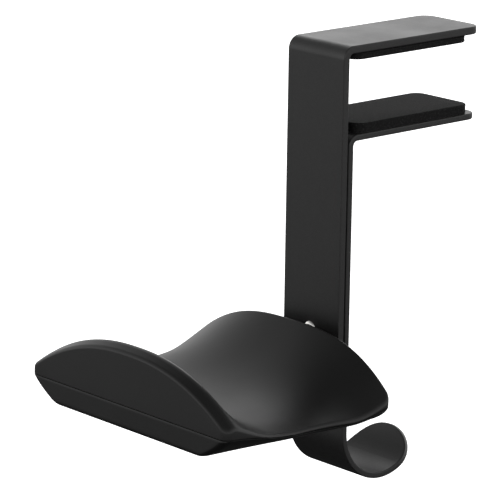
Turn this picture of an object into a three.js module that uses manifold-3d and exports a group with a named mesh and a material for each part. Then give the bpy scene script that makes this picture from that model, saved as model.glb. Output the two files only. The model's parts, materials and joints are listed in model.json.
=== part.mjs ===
// Headphone hook that clamps on the edge of a desk, in millimetres, +Z up.
// The desk lies towards +Y between two padded jaws, and the headphone cradle hangs towards -Y.
// The front bracket carries the upper jaw and the cradle. The slide bracket behind it carries the
// lower jaw and the cable hook, and two tension springs pull it up to close the jaws.
//
// Pieces are drawn with X = 0 on the middle of the bars, Y = 0 on the front face of the front bar
// and Z = 0 on top of the upper jaw. The last lines move the whole hook so that its origin is the
// middle of the upper pad's lower face, which rests on the desk top.

import * as THREE from "three";
import { mergeVertices } from "three/addons/utils/BufferGeometryUtils.js";
import Module from "manifold-3d";

const wasm = await Module();
wasm.setup();

// Flat bar stock
const barWidth = 25;
const frontBarThickness = 2.5;
const slideBarThickness = 2;
const barGap = 0.45;
const innerBendRadius = 1.6;
const jawCornerRadius = 4.5;

// Jaws and pads
const upperJawEnd = 60.3;
const lowerJawEnd = 59.8;
const lowerJawTop = -27.9;
const padCornerRadius = 4;
const tapeThickness = 0.2;
const tapeInset = 0.5;
const upperPad = { width: 24, start: 5.2, end: 55.4, thickness: 2.2 };
const lowerPad = { width: 24, start: 7, end: 56.8, thickness: 3 };

// Slide, its guides and its springs
const jawTravel = 15;
const slotWidth = 5.2;
const rivetHeights = [-91.2, -101.2];
const rivetRadius = 1.5;
const rivetHeadRadius = 2.5;
const rivetHeadHeight = 1.3;
const rivetTailRadius = 2.15;
const rivetTailHeight = 0.9;
const holeClearance = 0.1;
const slotEndClearance = 0.15;
const bushRadius = 2.45;
const washerRadius = 4.5;
const washerThickness = 0.4;
const slideClearance = 0.1;
const keeperThickness = 1.2;
const keeperStem = { halfWidth: 4, bottom: -105.5, top: -82 };
const keeperBar = { halfWidth: 7, bottom: -88, top: -82 };
const springRadius = 1.8;
const springBore = 1.2;
const springX = 4.2;
const springStandOff = 0.3;
const springEndGap = 3;
const upperPostHeight = -85;
const lowerPostHeight = -118.5;
const postRadius = 1;
const postHeadRadius = 1.5;
const postHeadThickness = 0.6;
const postLength = 3.6;

// Cable hook at the foot of the slide bracket
const hookCentreHeight = -123.6;
const hookOuterRadius = 18;
const hookTurn = 158;

// Cradle, in its own frame: along is the distance forward of its back, up is the height above
// its underside, and the whole cradle leans up at the front. The headband lies in a trough between
// a hump at the back and a lip at the front. The crest is the top's height down the middle, and the
// rim is its height above the seam along each side.
const cradleLean = THREE.MathUtils.degToRad(1.85);
const cradleBack = -4.4;
const cradleFoot = -111.5;
const cradleDepth = 71.3;
const cradleFloorHalfWidth = 34.2;
const cradleRimHalfWidth = 45;
const cradleWaist = 2.2;
const cradleCornerRadius = 2.6;
const frontOverhang = 0.3;
const humpSetback = 4;
const crest = { hump: 25, low: 6.6, lip: 25.8, humpFoot: 52, humpCurve: 2,
  lipFoot: 49, lipCurve: 2.1, lipTop: 67.4, lipFall: 0.45, lipRoll: 1.4 };
const rim = { hump: 2.3, low: 0.9, lip: 3.8, humpFoot: 22, humpCurve: 2,
  lipFoot: 52, lipCurve: 1.8, lipTop: 68, lipFall: 0.45, lipRoll: 1 };
const crownRearPower = 2.9;
const crownFrontPower = 2.3;
const seamEndHeight = 7.5;
const seamLowHeight = 3.9;
const seamRearRun = 20;
const seamFrontRun = 32;
const seamGap = 0.3;
const topShellWall = 1.5;
const trayWall = 1.6;
const trayFloor = 1;

// Arm inside the cradle and the screws that hold it
const armBottom = 1.3;
const armTop = armBottom + frontBarThickness;
const armEnd = 66.5;
const armDoorGap = 0.4;
const armScrewPlaces = [13, 61.5];
const armScrew = { headRadius: 2.7, radius: 1.4, headHeight: 1.3, length: 7, clearance: 0.25 };
const insertRadius = 2.5;
const insertBore = 1.6;
const insertLength = 4;
const insertGap = 0.6;
const insertBottom = armTop + insertGap;
const insertBossRadius = 4.1;
const trayScrewX = 27;
const trayScrewPlaces = [10, 61];
const trayScrew = { headRadius: 2.4, radius: 1, headHeight: 1.4, seat: 2.5, length: 7,
  headClearance: 0.3, clearance: 0.2, pilotClearance: 0.15, tipClearance: 0.5 };
const trayBossRadius = 3.5;
const trayBossTop = 4.2;
const bossGap = 0.3;

// How far a cutting shape runs past what it cuts
const overrun = 1;

const black = { color: 0x17181a, roughness: 0.55, metalness: 0.2 };
const satinBlack = { color: 0x1b1b1d, roughness: 0.6, metalness: 0 };
const foamBlack = { color: 0x202022, roughness: 0.95, metalness: 0 };
const tapeGrey = { color: 0x3a3a3c, roughness: 0.8, metalness: 0 };
const nickel = { color: 0xc4c6c8, roughness: 0.25, metalness: 1 };
const zinc = { color: 0x9a9ea2, roughness: 0.4, metalness: 1 };
const nylon = { color: 0xd8d6cc, roughness: 0.5, metalness: 0 };
const springSteel = { color: 0x8d9094, roughness: 0.3, metalness: 1 };
const brass = { color: 0xb08d45, roughness: 0.35, metalness: 1 };

const hook = new THREE.Group();

// ---- Helpers ----

// A closed mesh as a solid: its shared corners are merged and triangles with no area left out.
function solid(geometry) {
  const bare = geometry.index ? geometry.clone() : mergeVertices(geometry.clone());
  bare.deleteAttribute("normal");
  bare.deleteAttribute("uv");
  const merged = mergeVertices(bare, 1e-5);
  const corners = [...merged.index.array];
  const triangles = [];
  for (let first = 0; first < corners.length; first += 3) {
    const [a, b, c] = corners.slice(first, first + 3);
    if (a !== b && b !== c && c !== a) {
      triangles.push(a, b, c);
    }
  }
  const body = new wasm.Mesh({
    numProp: 3,
    vertProperties: new Float32Array(merged.attributes.position.array),
    triVerts: new Uint32Array(triangles),
  });
  return new wasm.Manifold(body);
}

function geometryOf(manifold) {
  const result = manifold.getMesh();
  const geometry = new THREE.BufferGeometry();
  geometry.setAttribute("position", new THREE.BufferAttribute(result.vertProperties, 3));
  geometry.setIndex(new THREE.BufferAttribute(result.triVerts, 1));
  geometry.computeVertexNormals();
  return geometry;
}

function addPiece(name, shape, finish) {
  const geometry = shape.isBufferGeometry ? shape : geometryOf(shape);
  const piece = new THREE.Mesh(geometry, new THREE.MeshStandardMaterial(finish));
  piece.name = name;
  hook.add(piece);
  return piece;
}

// A closed solid through rings of equal size, with its two ends capped by fans.
function loft(rings) {
  const size = rings[0].length;
  const positions = rings.flat().flatMap((point) => [point.x, point.y, point.z]);
  const triangles = [];
  for (let ring = 0; ring + 1 < rings.length; ring += 1) {
    for (let corner = 0; corner < size; corner += 1) {
      const a = ring * size + corner;
      const b = ring * size + ((corner + 1) % size);
      triangles.push(a, b, b + size, a, b + size, a + size);
    }
  }
  const last = (rings.length - 1) * size;
  for (let corner = 1; corner + 1 < size; corner += 1) {
    triangles.push(0, corner + 1, corner);
    triangles.push(last, last + corner, last + corner + 1);
  }
  const geometry = new THREE.BufferGeometry();
  geometry.setAttribute("position", new THREE.BufferAttribute(new Float32Array(positions), 3));
  geometry.setIndex(triangles);
  return geometry;
}

// A plate lying flat: its outline is seen from above.
function flatPlate(outline, bottom, top) {
  const geometry = new THREE.ExtrudeGeometry(outline, {
    depth: top - bottom,
    bevelEnabled: false,
    curveSegments: 8,
  });
  return geometry.translate(0, 0, bottom);
}

// A plate standing upright: its outline is seen from the front, in X and Z.
function uprightPlate(outline, front, back) {
  const geometry = new THREE.ExtrudeGeometry(outline, {
    depth: back - front,
    bevelEnabled: false,
    curveSegments: 8,
  });
  return geometry.rotateX(Math.PI / 2).translate(0, back, 0);
}

function roundedRectangle(left, right, bottom, top, radius, steps = 6) {
  const centres = [
    new THREE.Vector2(right - radius, bottom + radius),
    new THREE.Vector2(right - radius, top - radius),
    new THREE.Vector2(left + radius, top - radius),
    new THREE.Vector2(left + radius, bottom + radius),
  ];
  return centres.flatMap((centre, quarter) => quarterRound(centre, radius, quarter - 1, steps));
}

// A quarter of a circle, anticlockwise, starting a number of quarter turns from the X axis.
function quarterRound(centre, radius, quarter, steps) {
  return Array.from({ length: steps + 1 }, (_, step) => {
    const angle = (Math.PI / 2) * (quarter + step / steps);
    return new THREE.Vector2(centre.x + radius * Math.cos(angle), centre.y + radius * Math.sin(angle));
  });
}

// A turned piece about the Y axis at (x, z): the profile is a list of [radius, y] pairs.
function turnedAlongY(profile, x, z, sides = 20) {
  const points = profile.map(([radius, y]) => new THREE.Vector2(radius, y));
  return new THREE.LatheGeometry(points, sides).translate(x, 0, z);
}

function cylinderAlongY(radius, front, back, x, z, sides = 20) {
  return turnedAlongY([[0, front], [radius, front], [radius, back], [0, back]], x, z, sides);
}

// A turned piece about the cradle's own upright at a place inside it.
function turnedInCradle(profile, x, along, sides = 20) {
  const points = profile.map(([radius, up]) => new THREE.Vector2(radius, up));
  const geometry = new THREE.LatheGeometry(points, sides).rotateX(Math.PI / 2);
  return intoCradle(geometry.translate(x, -along, 0));
}

// Moves a shape drawn at the cradle's back foot, facing -Y and level, to its leaning place.
function intoCradle(geometry) {
  return geometry.rotateX(-cradleLean).translate(0, cradleBack, cradleFoot);
}

// ---- Bent bars ----

// A bar's centre line, drawn in Y and Z by going forward and turning, as the bar is bent.
class BarPath {
  constructor(y, z, heading) {
    this.parts = [];
    this.end = new THREE.Vector2(y, z);
    this.heading = THREE.MathUtils.degToRad(heading);
    this.length = 0;
  }

  forward(length) {
    const direction = new THREE.Vector2(Math.cos(this.heading), Math.sin(this.heading));
    const start = this.end.clone();
    this.parts.push({ from: this.length, length, start, heading: this.heading, steps: 1 });
    this.end.addScaledVector(direction, length);
    this.length += length;
    return this;
  }

  // A turn to the left is positive, in degrees.
  turn(radius, degrees, steps) {
    const angle = THREE.MathUtils.degToRad(degrees);
    const part = { from: this.length, length: radius * Math.abs(angle), start: this.end.clone(),
      heading: this.heading, radius: radius * Math.sign(angle), steps };
    this.parts.push(part);
    this.length += part.length;
    this.end = this.at(this.length).point;
    this.heading += angle;
    return this;
  }

  at(distance) {
    const part = this.parts.findLast((candidate) => candidate.from <= distance) ?? this.parts[0];
    const run = Math.min(distance - part.from, part.length);
    if (!part.radius) {
      const ahead = new THREE.Vector2(Math.cos(part.heading), Math.sin(part.heading));
      return { point: part.start.clone().addScaledVector(ahead, run), heading: part.heading };
    }
    const side = new THREE.Vector2(-Math.sin(part.heading), Math.cos(part.heading));
    const centre = part.start.clone().addScaledVector(side, part.radius);
    const heading = part.heading + run / part.radius;
    const out = new THREE.Vector2(Math.sin(heading), -Math.cos(heading));
    return { point: centre.addScaledVector(out, part.radius), heading };
  }

  stations() {
    return this.parts.flatMap((part) =>
      Array.from({ length: part.steps + 1 }, (_, step) => part.from + (part.length * step) / part.steps));
  }
}

// Distances from a bar's end and its half widths there, where its corners are rounded off.
function endRounding(radius, steps) {
  return Array.from({ length: steps + 1 }, (_, step) => {
    const angle = (Math.PI / 2) * ((step + 0.35) / (steps + 0.35));
    const halfWidth = barWidth / 2 - radius * (1 - Math.sin(angle));
    return { inset: radius * (1 - Math.cos(angle)), halfWidth };
  });
}

function bentBar(path, thickness, startRadius, endRadius) {
  const stations = new Map();
  const startZone = endRounding(startRadius, 7);
  const endZone = endRounding(endRadius, 7);
  for (const distance of path.stations()) {
    if (distance > startRadius && distance < path.length - endRadius) {
      stations.set(distance.toFixed(4), { distance, halfWidth: barWidth / 2 });
    }
  }
  for (const { inset, halfWidth } of startZone) {
    stations.set(inset.toFixed(4), { distance: inset - startZone[0].inset, halfWidth });
  }
  for (const { inset, halfWidth } of endZone) {
    const distance = path.length - inset + endZone[0].inset;
    stations.set(distance.toFixed(4), { distance, halfWidth });
  }
  const ordered = [...stations.values()].sort((first, second) => first.distance - second.distance);
  const rings = ordered.map(({ distance, halfWidth }) => {
    const { point, heading } = path.at(distance);
    const normal = new THREE.Vector2(-Math.sin(heading), Math.cos(heading)).multiplyScalar(thickness / 2);
    const corner = (x, side) => new THREE.Vector3(x, point.x + side * normal.x, point.y + side * normal.y);
    return [corner(-halfWidth, 1), corner(halfWidth, 1), corner(halfWidth, -1), corner(-halfWidth, -1)];
  });
  return solid(loft(rings));
}

// ---- Brackets ----

const slideFront = frontBarThickness + barGap;
const slideBack = slideFront + slideBarThickness;
const keeperFront = slideBack + slideClearance;
const keeperBack = keeperFront + keeperThickness;

function cradlePoint(along, up) {
  return new THREE.Vector2(
    cradleBack - along * Math.cos(cradleLean) + up * Math.sin(cradleLean),
    cradleFoot + along * Math.sin(cradleLean) + up * Math.cos(cradleLean),
  );
}

// A countersunk hole in the arm, with clearance round the screw.
function armScrewHole(along) {
    const coneStart = armBottom + armScrew.clearance;
  const coneEnd = coneStart + armScrew.headHeight;
  const profile = [
    [0, armBottom - overrun],
    [armScrew.headRadius + armScrew.clearance, armBottom - overrun],
    [armScrew.headRadius + armScrew.clearance, coneStart],
    [armScrew.radius + armScrew.clearance, coneEnd],
    [armScrew.radius + armScrew.clearance, armTop + overrun],
    [0, armTop + overrun],
  ];
  return turnedInCradle(profile, 0, along);
}

function frontBracket() {
  const bend = innerBendRadius + frontBarThickness / 2;
  const middle = frontBarThickness / 2;
  const armMiddle = armBottom + middle;
  const armFront = cradlePoint(armEnd, armMiddle);
  const armLeanDegrees = THREE.MathUtils.radToDeg(cradleLean);
  const cornerRun = (middle - armFront.x) / Math.cos(cradleLean);
  const cornerHeight = armFront.y - cornerRun * Math.sin(cradleLean);
  const armTangent = bend * Math.tan((Math.PI / 2 + cradleLean) / 2);
  const path = new BarPath(armFront.x, armFront.y, -armLeanDegrees)
    .forward(cornerRun - armTangent)
    .turn(bend, 90 + armLeanDegrees, 7)
    .forward(-middle - bend - cornerHeight - armTangent)
    .turn(bend, -90, 7)
    .forward(upperJawEnd - middle - bend);
  let bracket = bentBar(path, frontBarThickness, jawCornerRadius, jawCornerRadius);
  for (const height of rivetHeights) {
    const drill = cylinderAlongY(rivetRadius + holeClearance, -overrun,
      frontBarThickness + overrun, 0, height);
    bracket = bracket.subtract(solid(drill));
  }
  for (const place of armScrewPlaces) {
    bracket = bracket.subtract(solid(armScrewHole(place)));
  }
  return bracket;
}

function slot(halfWidth, bottom, top) {
  const outline = new THREE.Shape();
  outline.absarc(0, top - halfWidth, halfWidth, 0, Math.PI);
  outline.absarc(0, bottom + halfWidth, halfWidth, Math.PI, Math.PI * 2);
  return outline;
}

function slideBracket() {
  const bend = innerBendRadius + slideBarThickness / 2;
  const middle = slideFront + slideBarThickness / 2;
  const jawMiddle = lowerJawTop - slideBarThickness / 2;
  const hookRadius = hookOuterRadius - slideBarThickness / 2;
  const path = new BarPath(lowerJawEnd, jawMiddle, 180)
    .forward(lowerJawEnd - middle - bend)
    .turn(bend, 90, 7)
    .forward(jawMiddle - bend - hookCentreHeight)
    .turn(hookRadius, hookTurn, 30);
  const bar = bentBar(path, slideBarThickness, jawCornerRadius, barWidth / 2);
  const slotTop = rivetHeights[0] + jawTravel + bushRadius + slotEndClearance;
  const slotBottom = rivetHeights[1] - bushRadius - slotEndClearance;
  const opening = uprightPlate(slot(slotWidth / 2, slotBottom, slotTop),
    slideFront - overrun, slideBack + overrun);
  let bracket = bar.subtract(solid(opening));
  for (const side of [-1, 1]) {
    const drill = cylinderAlongY(postRadius + holeClearance, slideFront - overrun, slideBack + overrun,
      side * springX, lowerPostHeight);
    bracket = bracket.subtract(solid(drill));
  }
  return bracket;
}

function keeperPlate() {
  const outline = new THREE.Shape();
  outline.moveTo(-keeperStem.halfWidth, keeperStem.bottom);
  outline.lineTo(keeperStem.halfWidth, keeperStem.bottom);
  outline.lineTo(keeperStem.halfWidth, keeperBar.bottom);
  outline.lineTo(keeperBar.halfWidth, keeperBar.bottom);
  outline.lineTo(keeperBar.halfWidth, keeperBar.top);
  outline.lineTo(-keeperBar.halfWidth, keeperBar.top);
  outline.lineTo(-keeperBar.halfWidth, keeperBar.bottom);
  outline.lineTo(-keeperStem.halfWidth, keeperBar.bottom);
  let plate = solid(uprightPlate(outline, keeperFront, keeperBack));
  const drill = (radius, x, z) => solid(cylinderAlongY(radius, keeperFront - overrun,
    keeperBack + overrun, x, z));
  for (const height of rivetHeights) {
    plate = plate.subtract(drill(rivetRadius + holeClearance, 0, height));
  }
  for (const side of [-1, 1]) {
    plate = plate.subtract(drill(postRadius + holeClearance, side * springX, upperPostHeight));
  }
  return plate;
}

// ---- Guides, springs and pads ----

function guideRivet(height) {
  const headArc = Array.from({ length: 7 }, (_, step) => {
    const angle = (Math.PI / 2) * (step / 6);
    return [rivetHeadRadius * Math.sin(angle), -rivetHeadHeight * Math.cos(angle)];
  });
  const profile = [
    ...headArc,
    [rivetRadius, 0],
    [rivetRadius, keeperBack],
    [rivetTailRadius, keeperBack],
    [rivetTailRadius * 0.8, keeperBack + rivetTailHeight],
    [0, keeperBack + rivetTailHeight],
  ];
  return solid(turnedAlongY(profile, 0, height, 18));
}

function ringAlongY(innerRadius, outerRadius, front, back, x, z) {
  const profile = [[innerRadius, front], [outerRadius, front], [outerRadius, back], [innerRadius, back],
    [innerRadius, front]];
  return solid(turnedAlongY(profile, x, z, 18));
}

function springPost(x, height, plateFront, plateBack) {
  const headStart = plateBack + postLength;
  const profile = [
    [0, plateFront],
    [postRadius, plateFront],
    [postRadius, headStart],
    [postHeadRadius, headStart],
    [postHeadRadius, headStart + postHeadThickness],
    [0, headStart + postHeadThickness],
  ];
  return solid(turnedAlongY(profile, x, height, 12));
}

function tensionSpring(x) {
  const middle = keeperBack + springRadius + springStandOff;
  const top = upperPostHeight - springEndGap;
  const bottom = lowerPostHeight + springEndGap;
  const points = [[springBore, bottom], [springRadius, bottom], [springRadius, top], [springBore, top],
    [springBore, bottom]].map(([radius, z]) => new THREE.Vector2(radius, z));
  return solid(new THREE.LatheGeometry(points, 16).rotateX(Math.PI / 2).translate(x, middle, 0));
}

function padOutline(pad, inset) {
  const half = pad.width / 2 - inset;
  return new THREE.Shape(
    roundedRectangle(-half, half, pad.start + inset, pad.end - inset, padCornerRadius - inset));
}

function addPad(prefix, pad, jawFace, outward) {
  const tapeFace = jawFace + outward * tapeThickness;
  const padFace = tapeFace + outward * pad.thickness;
  const tape = flatPlate(padOutline(pad, tapeInset),
    Math.min(jawFace, tapeFace), Math.max(jawFace, tapeFace));
  const foam = flatPlate(padOutline(pad, 0), Math.min(tapeFace, padFace), Math.max(tapeFace, padFace));
  addPiece(`${prefix}_pad_tape`, solid(tape), tapeGrey);
  addPiece(`${prefix}_jaw_pad`, solid(foam), foamBlack);
}

// ---- Cradle ----

// Rises from 0 to 1, level at both ends, as along goes from start to end.
function easedRise(along, start, end) {
  const share = THREE.MathUtils.clamp((along - start) / (end - start), 0, 1);
  return (1 - Math.cos(Math.PI * share)) / 2;
}

// The lower of two heights, rounded where they cross.
function softLower(first, second, roll) {
  const near = Math.max(roll - Math.abs(first - second), 0) / roll;
  return Math.min(first, second) - (near * near * roll) / 4;
}

// Down from the hump, low in the trough, up to the lip, and rolling over it to the front.
function troughLine(line, along) {
  const fall = THREE.MathUtils.clamp((line.humpFoot - along) / (line.humpFoot - humpSetback), 0, 1.1);
  const rise = Math.max((along - line.lipFoot) / (line.lipTop - line.lipFoot), 0);
  const slope = line.low + (line.hump - line.low) * fall ** line.humpCurve
    + (line.lip - line.low) * rise ** line.lipCurve;
  const lip = line.lip - line.lipFall * (along - line.lipTop);
  return softLower(slope, lip, line.lipRoll);
}

function topHeight(x, along) {
  const middle = troughLine(crest, along);
  const side = seamLine(along) + troughLine(rim, along);
  const power = THREE.MathUtils.lerp(crownRearPower, crownFrontPower, along / cradleDepth);
  return side + (middle - side) * (1 - Math.abs(x / cradleRimHalfWidth) ** power);
}

function seamLine(along) {
  const rear = 1 - easedRise(along, 0, seamRearRun);
  const front = easedRise(along, cradleDepth - seamFrontRun, cradleDepth);
  return seamLowHeight + (seamEndHeight - seamLowHeight) * (rear + front);
}

// All that lies under a height over the cradle's plan.
function under(height, xSteps, alongSteps) {
  const half = cradleRimHalfWidth + 2;
  const first = -3;
  const last = cradleDepth + 5;
  const floor = -80;
  const rings = Array.from({ length: xSteps + 1 }, (_, xStep) => {
    const x = -half + (2 * half * xStep) / xSteps;
    const ring = [new THREE.Vector3(x, -last, floor), new THREE.Vector3(x, -first, floor)];
    for (let step = 0; step <= alongSteps; step += 1) {
      const along = first + ((last - first) * step) / alongSteps;
      ring.push(new THREE.Vector3(x, -along, height(x, along)));
    }
    return ring;
  });
  return solid(loft(rings));
}

// The cradle's plan as a ring of points, anticlockwise, its two sides drawn in at the waist.
function cradleRing(half, waist, front, back, radius, heightOf) {
  const sideSteps = 16;
  const frontCorner = new THREE.Vector2(half - radius, -front + radius);
  const rearCorner = new THREE.Vector2(half - radius, -back - radius);
  const side = Array.from({ length: sideSteps - 1 }, (_, step) => {
    const share = (step + 1) / sideSteps;
    const drawnIn = waist * Math.sin(Math.PI * share) ** 2;
    return new THREE.Vector2(half - drawnIn, THREE.MathUtils.lerp(frontCorner.y, rearCorner.y, share));
  });
  const right = [
    ...quarterRound(frontCorner, radius, -1, 5),
    ...side,
    ...quarterRound(rearCorner, radius, 0, 5),
  ];
  const left = right.map((point) => new THREE.Vector2(-point.x, point.y)).reverse();
  return [...right, ...left].map((point) => new THREE.Vector3(point.x, point.y, heightOf(-point.y)));
}

// The cradle's outer walls, or the same walls inset: the tray flares from its floor to the seam,
// and the shell's walls stand straight above it.
function cradleBlock(inset, bottom) {
  const topOfBlock = 34;
  const floorHalf = cradleFloorHalfWidth - inset;
  const rimHalf = cradleRimHalfWidth - inset;
  const frontAtSeam = cradleDepth + frontOverhang - inset;
  const backAtSeam = humpSetback + inset;
  const radius = cradleCornerRadius - inset;
  return solid(loft([
    cradleRing(floorHalf, 0, cradleDepth - inset, inset, radius, () => bottom),
    cradleRing(rimHalf, cradleWaist, frontAtSeam, backAtSeam, radius, seamLine),
    cradleRing(rimHalf, cradleWaist, frontAtSeam, backAtSeam, radius, () => topOfBlock),
  ]));
}

function levelCylinder(radius, bottom, top, x, along) {
  const points = [[0, bottom], [radius, bottom], [radius, top], [0, top]]
    .map(([width, up]) => new THREE.Vector2(width, up));
  return solid(new THREE.LatheGeometry(points, 20).rotateX(Math.PI / 2).translate(x, -along, 0));
}

// The doorway that the arm enters by, through the back of the tray.
function armDoorway() {
  const depth = 8;
  const height = frontBarThickness + 2 * armDoorGap;
  const box = new THREE.BoxGeometry(barWidth + 2 * armDoorGap, depth, height);
  return solid(box.translate(0, 0, armBottom + frontBarThickness / 2));
}

function leaned(manifold) {
  return intoCradle(geometryOf(manifold));
}

function cradleTop() {
  const body = cradleBlock(0, 0)
    .intersect(under(topHeight, 22, 40))
    .subtract(under((x, along) => seamLine(along) + seamGap, 2, 26));
  const hollow = cradleBlock(topShellWall, 0)
    .intersect(under((x, along) => topHeight(x, along) - topShellWall, 12, 24));
  const skin = under((x, along) => topHeight(x, along) - topShellWall / 2, 12, 24);
  let shell = body.subtract(hollow);
  const addBoss = (radius, bottom, x, along) => {
    shell = shell.add(levelCylinder(radius, bottom, crest.hump, x, along).intersect(skin));
  };
  const drill = (radius, bottom, top, x, along) => {
    shell = shell.subtract(levelCylinder(radius, bottom - overrun, top, x, along));
  };
  for (const along of armScrewPlaces) {
    addBoss(insertBossRadius, armTop + bossGap, 0, along);
    drill(insertRadius + holeClearance, insertBottom, insertBottom + insertLength + insertGap, 0, along);
  }
  for (const x of [-trayScrewX, trayScrewX]) {
    for (const along of trayScrewPlaces) {
      addBoss(trayBossRadius, trayBossTop + bossGap, x, along);
      drill(trayScrew.radius + trayScrew.pilotClearance, trayBossTop,
        trayScrew.seat + trayScrew.length + trayScrew.tipClearance, x, along);
    }
  }
  return shell;
}

function cradleTray() {
  const body = cradleBlock(0, 0).intersect(under((x, along) => seamLine(along), 2, 26));
  let tray = body.subtract(cradleBlock(trayWall, trayFloor));
  for (const x of [-trayScrewX, trayScrewX]) {
    for (const along of trayScrewPlaces) {
      tray = tray.add(levelCylinder(trayBossRadius, trayFloor / 2, trayBossTop, x, along))
        .subtract(levelCylinder(trayScrew.headRadius + trayScrew.headClearance, -overrun,
          trayScrew.seat, x, along))
        .subtract(levelCylinder(trayScrew.radius + trayScrew.clearance, -overrun,
          trayBossTop + overrun, x, along));
    }
  }
  return tray.subtract(armDoorway());
}

// Screws are driven upwards: the head ends where the shank begins.
function trayScrewAt(x, along) {
  const { headRadius, radius, headHeight, seat, length } = trayScrew;
  return turnedInCradle([
    [0, seat - headHeight],
    [headRadius * 0.75, seat - headHeight],
    [headRadius, seat - headHeight * 0.5],
    [headRadius, seat],
    [radius, seat],
    [radius, seat + length],
    [0, seat + length],
  ], x, along);
}

function armScrewAt(along) {
  const { headRadius, radius, headHeight, length } = armScrew;
  return turnedInCradle([
    [0, armBottom],
    [headRadius, armBottom],
    [radius, armBottom + headHeight],
    [radius, armBottom + length],
    [0, armBottom + length],
  ], 0, along);
}

function threadedInsert(along) {
  const top = insertBottom + insertLength;
  return turnedInCradle([
    [insertBore, insertBottom],
    [insertRadius, insertBottom],
    [insertRadius, top],
    [insertBore, top],
    [insertBore, insertBottom],
  ], 0, along);
}

// ---- Assembly ----

addPiece("front_bracket", frontBracket(), black);
addPiece("slide_bracket", slideBracket(), black);
addPad("upper", upperPad, -frontBarThickness, -1);
addPad("lower", lowerPad, lowerJawTop, 1);

for (const [place, height] of [["upper", rivetHeights[0]], ["lower", rivetHeights[1]]]) {
  const washerBack = frontBarThickness + washerThickness;
  addPiece(`guide_rivet_${place}`, guideRivet(height), nickel);
  addPiece(`gap_washer_${place}`,
    ringAlongY(rivetRadius + holeClearance, washerRadius, frontBarThickness, washerBack, 0, height), nylon);
  addPiece(`guide_bush_${place}`,
    ringAlongY(rivetRadius + holeClearance, bushRadius, washerBack, keeperFront, 0, height), nylon);
}
addPiece("keeper_plate", keeperPlate(), zinc);
for (const [place, side] of [["left", -1], ["right", 1]]) {
  addPiece(`spring_${place}`, tensionSpring(side * springX), springSteel);
  addPiece(`spring_post_upper_${place}`,
    springPost(side * springX, upperPostHeight, keeperFront, keeperBack), zinc);
  addPiece(`spring_post_lower_${place}`,
    springPost(side * springX, lowerPostHeight, slideFront, slideBack), zinc);
}

addPiece("cradle_top", leaned(cradleTop()), satinBlack);
addPiece("cradle_tray", leaned(cradleTray()), satinBlack);
for (const [name, along] of [["rear", armScrewPlaces[0]], ["front", armScrewPlaces[1]]]) {
  addPiece(`arm_screw_${name}`, solid(armScrewAt(along)), zinc);
  addPiece(`threaded_insert_${name}`, solid(threadedInsert(along)), brass);
}
for (const [row, along] of [["rear", trayScrewPlaces[0]], ["front", trayScrewPlaces[1]]]) {
  for (const [place, side] of [["left", -1], ["right", 1]]) {
    addPiece(`tray_screw_${row}_${place}`, solid(trayScrewAt(side * trayScrewX, along)), zinc);
  }
}

const seat = new THREE.Vector3(0, (upperPad.start + upperPad.end) / 2,
  -frontBarThickness - tapeThickness - upperPad.thickness);
hook.position.copy(seat).negate();

export default hook;
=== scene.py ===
"""Looks of a headphone hook that clamps on a desk's edge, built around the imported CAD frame.

Metres, +Z up. The desk lies towards +Y, and the headphone cradle stands towards -Y.
"""

import json
import math

import bmesh
import bpy
from mathutils import Matrix, Vector


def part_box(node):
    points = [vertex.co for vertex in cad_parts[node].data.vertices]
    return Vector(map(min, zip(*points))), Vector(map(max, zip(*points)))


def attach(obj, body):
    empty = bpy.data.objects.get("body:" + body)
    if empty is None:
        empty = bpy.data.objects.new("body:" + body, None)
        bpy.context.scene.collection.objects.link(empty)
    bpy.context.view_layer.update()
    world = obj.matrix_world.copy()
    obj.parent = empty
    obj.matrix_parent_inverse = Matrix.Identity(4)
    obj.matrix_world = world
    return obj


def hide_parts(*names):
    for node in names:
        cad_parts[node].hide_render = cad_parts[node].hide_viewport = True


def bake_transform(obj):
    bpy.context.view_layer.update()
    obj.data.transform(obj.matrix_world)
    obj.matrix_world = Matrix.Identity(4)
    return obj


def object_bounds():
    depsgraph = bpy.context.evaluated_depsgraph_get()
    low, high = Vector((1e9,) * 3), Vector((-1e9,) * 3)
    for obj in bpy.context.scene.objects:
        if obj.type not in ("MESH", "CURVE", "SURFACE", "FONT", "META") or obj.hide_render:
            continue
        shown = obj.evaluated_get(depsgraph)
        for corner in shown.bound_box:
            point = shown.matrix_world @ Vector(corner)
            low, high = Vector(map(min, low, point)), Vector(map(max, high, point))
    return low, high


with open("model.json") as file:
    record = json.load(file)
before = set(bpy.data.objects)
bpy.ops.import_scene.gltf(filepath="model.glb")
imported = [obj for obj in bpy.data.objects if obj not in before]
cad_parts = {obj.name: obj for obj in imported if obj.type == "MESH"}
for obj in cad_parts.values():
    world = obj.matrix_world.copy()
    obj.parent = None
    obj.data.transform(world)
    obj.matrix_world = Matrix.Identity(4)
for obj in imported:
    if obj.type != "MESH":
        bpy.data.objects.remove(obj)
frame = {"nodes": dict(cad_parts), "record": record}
cad_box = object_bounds()

MM = 0.001

# Flat bars
BAR_WIDTH = 25 * MM
FRONT_THICKNESS = 2.5 * MM
SLIDE_THICKNESS = 2 * MM
INNER_BEND = 1.6 * MM
JAW_CORNER = 4.5 * MM
BAR_EDGE = 0.38 * MM
HOOK_RADIUS = 18 * MM
HOOK_TURN = 158

# Slide
SLOT_WIDTH = 5.2 * MM
JAW_TRAVEL = 15 * MM
BUSH_CLEARANCE = 0.15 * MM
BORE_RADIUS = 1.6 * MM
POST_RADIUS = 1 * MM
COIL_TURNS = 22
WIRE_RADIUS = 0.3 * MM

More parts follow.
